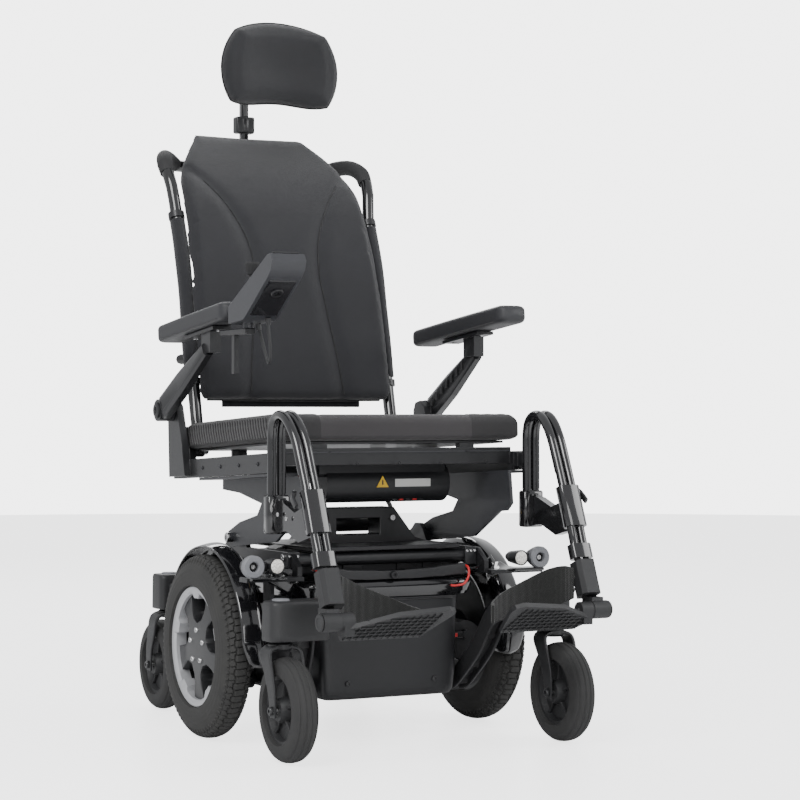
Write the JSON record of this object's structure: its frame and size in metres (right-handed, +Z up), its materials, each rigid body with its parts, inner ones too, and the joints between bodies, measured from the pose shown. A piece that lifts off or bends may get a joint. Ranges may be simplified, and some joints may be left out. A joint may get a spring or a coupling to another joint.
{
  "type": "power wheelchair",
  "caption": "Mid-wheel drive power wheelchair with sprung casters, tilting seat, reclining back, flip-up arms, joystick and swing-away legrests.",
  "frame": {"origin": "centre of the chair's footprint, on the ground", "axes": "+Z up, the user faces -Y, the user's left is +X"},
  "size_m": [0.626, 1.0446, 1.384],
  "materials": {
    "satin_black": "satin powder coat",
    "battery_case": "moulded case",
    "matte_plastic": "fine textured moulding",
    "gloss_shell": "high gloss shell",
    "lamp_lens": "clear faceted lens",
    "grey_plastic": "moulded grey",
    "red_plastic": "moulded red",
    "tyre_rubber": "block tread",
    "wheel_rim": "silver lacquer",
    "cast_black": "textured paint on a casting",
    "caster_rubber": "grooved tread",
    "seat_fabric": "spacer fabric",
    "grey_steel": "satin grey",
    "gloss_tube": "gloss powder coat",
    "back_fabric": "knitted spacer fabric",
    "headrest_fabric": "stretch knit",
    "armpad_foam": "skinned foam",
    "grey_plastic_dark": "soft matte shell",
    "soft_knob": "soft touch",
    "lead_rubber": "smooth sheath",
    "loop_fabric": "coarse woven"
  },
  "bodies": {
    "base": {"chassis_frame": "satin_black", "battery_front": "battery_case", "battery_rear": "battery_case", "front_cover": "matte_plastic", "top_shroud": "gloss_shell", "tilt_tower": "satin_black", "mudguard_left": "gloss_shell", "headlamp_left": "lamp_lens", "bumper_left": "grey_plastic", "gear_motor_left": "satin_black", "mudguard_right": "gloss_shell", "headlamp_right": "lamp_lens", "bumper_right": "grey_plastic", "gear_motor_right": "satin_black"},
    "seat": {"seat_frame": "satin_black", "seat_cushion": "seat_fabric", "tilt_bracket_left": "grey_steel", "tilt_bracket_right": "grey_steel", "tilt_motor": "satin_black"},
    "back": {"back_frame": "gloss_tube", "back_cushion": "back_fabric"},
    "headrest_post": {"headrest_post": "satin_black"},
    "headrest": {"headrest_pad": "headrest_fabric"},
    "drive_wheel_left": {"drive_tyre_left": "tyre_rubber", "drive_hub_left": "wheel_rim"},
    "freewheel_lever_left": {"freewheel_lever_left": "red_plastic"},
    "front_arm_left": {"front_arm_left": "cast_black"},
    "front_caster_left": {"front_caster_fork_left": "cast_black"},
    "front_caster_wheel_left": {"front_caster_wheel_left": "caster_rubber"},
    "rear_arm_left": {"rear_arm_left": "cast_black"},
    "rear_caster_left": {"rear_caster_fork_left": "cast_black"},
    "rear_caster_wheel_left": {"rear_caster_wheel_left": "caster_rubber"},
    "armrest_left": {"arm_strut_left": "satin_black", "armpad_left": "armpad_foam"},
    "legrest_left": {"legrest_hanger_left": "gloss_tube"},
    "leg_tube_left": {"leg_tube_left": "matte_plastic"},
    "footplate_left": {"footplate_left": "matte_plastic", "heel_loop_left": "loop_fabric"},
    "drive_wheel_right": {"drive_tyre_right": "tyre_rubber", "drive_hub_right": "wheel_rim"},
    "freewheel_lever_right": {"freewheel_lever_right": "red_plastic"},
    "front_arm_right": {"front_arm_right": "cast_black"},
    "front_caster_right": {"front_caster_fork_right": "cast_black"},
    "front_caster_wheel_right": {"front_caster_wheel_right": "caster_rubber"},
    "rear_arm_right": {"rear_arm_right": "cast_black"},
    "rear_caster_right": {"rear_caster_fork_right": "cast_black"},
    "rear_caster_wheel_right": {"rear_caster_wheel_right": "caster_rubber"},
    "armrest_right": {"arm_strut_right": "satin_black", "armpad_right": "armpad_foam", "controller_mount": "satin_black"},
    "legrest_right": {"legrest_hanger_right": "gloss_tube"},
    "leg_tube_right": {"leg_tube_right": "matte_plastic"},
    "footplate_right": {"footplate_right": "matte_plastic", "heel_loop_right": "loop_fabric"},
    "controller": {"controller_body": "grey_plastic_dark", "controller_lead": "lead_rubber"},
    "power_button": {"power_button": "grey_plastic"},
    "joystick_gimbal": {"joystick_gimbal": "satin_black"},
    "joystick": {"joystick_stick": "soft_knob"}
  },
  "joints": [
    {"name": "seat_tilt", "type": "hinge", "parent": "base", "child": "seat", "pos_m": [0, 0.08233, 0.362], "axis": [-1, 0, 0], "range_deg": [0, 25]},
    {"name": "back_recline", "type": "hinge", "parent": "seat", "child": "back", "pos_m": [0, 0.23233, 0.53], "axis": [-1, 0, 0], "range_deg": [0, 30]},
    {"name": "headrest_height", "type": "slide", "parent": "back", "child": "headrest_post", "axis": [0, 0, 1], "range_m": [0, 0.05]},
    {"name": "headrest_tilt", "type": "hinge", "parent": "headrest_post", "child": "headrest", "pos_m": [0, 0.40033, 1.28], "axis": [-1, 0, 0], "range_deg": [-10, 15]},
    {"name": "drive_wheel_left", "type": "hinge", "parent": "base", "child": "drive_wheel_left", "pos_m": [0.2815, 0.02733, 0.1675], "axis": [1, 0, 0], "continuous": true},
    {"name": "freewheel_lever_left", "type": "hinge", "parent": "base", "child": "freewheel_lever_left", "pos_m": [0.1855, -0.10807, 0.1795], "axis": [0, 1, 0], "range_deg": [0, 60]},
    {"name": "front_arm_left", "type": "hinge", "parent": "base", "child": "front_arm_left", "pos_m": [0.176, -0.07267, 0.09], "axis": [-1, 0, 0], "range_deg": [0, 7], "stiffness_Nm_per_rad": 500, "springref_deg": -17.19},
    {"name": "front_caster_swivel_left", "type": "hinge", "parent": "front_arm_left", "child": "front_caster_left", "pos_m": [0.2726, -0.28067, 0.2], "axis": [0, 0, 1], "continuous": true},
    {"name": "front_caster_wheel_left", "type": "hinge", "parent": "front_caster_left", "child": "front_caster_wheel_left", "pos_m": [0.2726, -0.31367, 0.09], "axis": [1, 0, 0], "continuous": true},
    {"name": "rear_arm_left", "type": "hinge", "parent": "base", "child": "rear_arm_left", "pos_m": [0.176, 0.12733, 0.09], "axis": [1, 0, 0], "range_deg": [0, 7], "stiffness_Nm_per_rad": 500, "springref_deg": -17.19},
    {"name": "rear_caster_swivel_left", "type": "hinge", "parent": "rear_arm_left", "child": "rear_caster_left", "pos_m": [0.209, 0.39933, 0.2], "axis": [0, 0, 1], "continuous": true},
    {"name": "rear_caster_wheel_left", "type": "hinge", "parent": "rear_caster_left", "child": "rear_caster_wheel_left", "pos_m": [0.209, 0.43233, 0.09], "axis": [1, 0, 0], "continuous": true},
    {"name": "armrest_left", "type": "hinge", "parent": "seat", "child": "armrest_left", "pos_m": [0.288, 0.21733, 0.6], "axis": [-1, 0, 0], "range_deg": [0, 85]},
    {"name": "legrest_swing_left", "type": "hinge", "parent": "seat", "child": "legrest_left", "pos_m": [0.257, -0.23067, 0.5], "axis": [0, 0, 1], "range_deg": [0, 90]},
    {"name": "leg_length_left", "type": "slide", "parent": "legrest_left", "child": "leg_tube_left", "axis": [0, -0.3742, -0.9274], "range_m": [0, 0.05]},
    {"name": "footplate_left", "type": "hinge", "parent": "leg_tube_left", "child": "footplate_left", "pos_m": [0.227, -0.45367, 0.25], "axis": [-1, 0, 0], "range_deg": [0, 70]},
    {"name": "drive_wheel_right", "type": "hinge", "parent": "base", "child": "drive_wheel_right", "pos_m": [-0.2815, 0.02733, 0.1675], "axis": [1, 0, 0], "continuous": true},
    {"name": "freewheel_lever_right", "type": "hinge", "parent": "base", "child": "freewheel_lever_right", "pos_m": [-0.1855, -0.10807, 0.1795], "axis": [0, -1, 0], "range_deg": [0, 60]},
    {"name": "front_arm_right", "type": "hinge", "parent": "base", "child": "front_arm_right", "pos_m": [-0.176, -0.07267, 0.09], "axis": [-1, 0, 0], "range_deg": [0, 7], "stiffness_Nm_per_rad": 500, "springref_deg": -17.19},
    {"name": "front_caster_swivel_right", "type": "hinge", "parent": "front_arm_right", "child": "front_caster_right", "pos_m": [-0.2726, -0.28067, 0.2], "axis": [0, 0, 1], "continuous": true},
    {"name": "front_caster_wheel_right", "type": "hinge", "parent": "front_caster_right", "child": "front_caster_wheel_right", "pos_m": [-0.2726, -0.31367, 0.09], "axis": [1, 0, 0], "continuous": true},
    {"name": "rear_arm_right", "type": "hinge", "parent": "base", "child": "rear_arm_right", "pos_m": [-0.176, 0.12733, 0.09], "axis": [1, 0, 0], "range_deg": [0, 7], "stiffness_Nm_per_rad": 500, "springref_deg": -17.19},
    {"name": "rear_caster_swivel_right", "type": "hinge", "parent": "rear_arm_right", "child": "rear_caster_right", "pos_m": [-0.209, 0.39933, 0.2], "axis": [0, 0, 1], "continuous": true},
    {"name": "rear_caster_wheel_right", "type": "hinge", "parent": "rear_caster_right", "child": "rear_caster_wheel_right", "pos_m": [-0.209, 0.43233, 0.09], "axis": [1, 0, 0], "continuous": true},
    {"name": "armrest_right", "type": "hinge", "parent": "seat", "child": "armrest_right", "pos_m": [-0.288, 0.21733, 0.6], "axis": [-1, 0, 0], "range_deg": [0, 85]},
    {"name": "legrest_swing_right", "type": "hinge", "parent": "seat", "child": "legrest_right", "pos_m": [-0.257, -0.23067, 0.5], "axis": [0, 0, -1], "range_deg": [0, 90]},
    {"name": "leg_length_right", "type": "slide", "parent": "legrest_right", "child": "leg_tube_right", "axis": [0, -0.3742, -0.9274], "range_m": [0, 0.05]},
    {"name": "footplate_right", "type": "hinge", "parent": "leg_tube_right", "child": "footplate_right", "pos_m": [-0.227, -0.45367, 0.25], "axis": [-1, 0, 0], "range_deg": [0, 70]},
    {"name": "controller_swing", "type": "hinge", "parent": "armrest_right", "child": "controller", "pos_m": [-0.272, -0.14267, 0.745], "axis": [0, 0, -1], "range_deg": [0, 80]},
    {"name": "power_button", "type": "slide", "parent": "controller", "child": "power_button", "axis": [0, -0.4364, -0.8998], "range_m": [0, 0.0015], "stiffness_N_per_m": 400},
    {"name": "joystick_fore_aft", "type": "hinge", "parent": "controller", "child": "joystick_gimbal", "pos_m": [-0.272, -0.16442, 0.79665], "axis": [1, 0, 0], "range_deg": [-18, 18], "stiffness_Nm_per_rad": 0.6},
    {"name": "joystick_side", "type": "hinge", "parent": "joystick_gimbal", "child": "joystick", "pos_m": [-0.272, -0.16442, 0.79665], "axis": [0, 1, 0], "range_deg": [-18, 18], "stiffness_Nm_per_rad": 0.6}
  ]
}
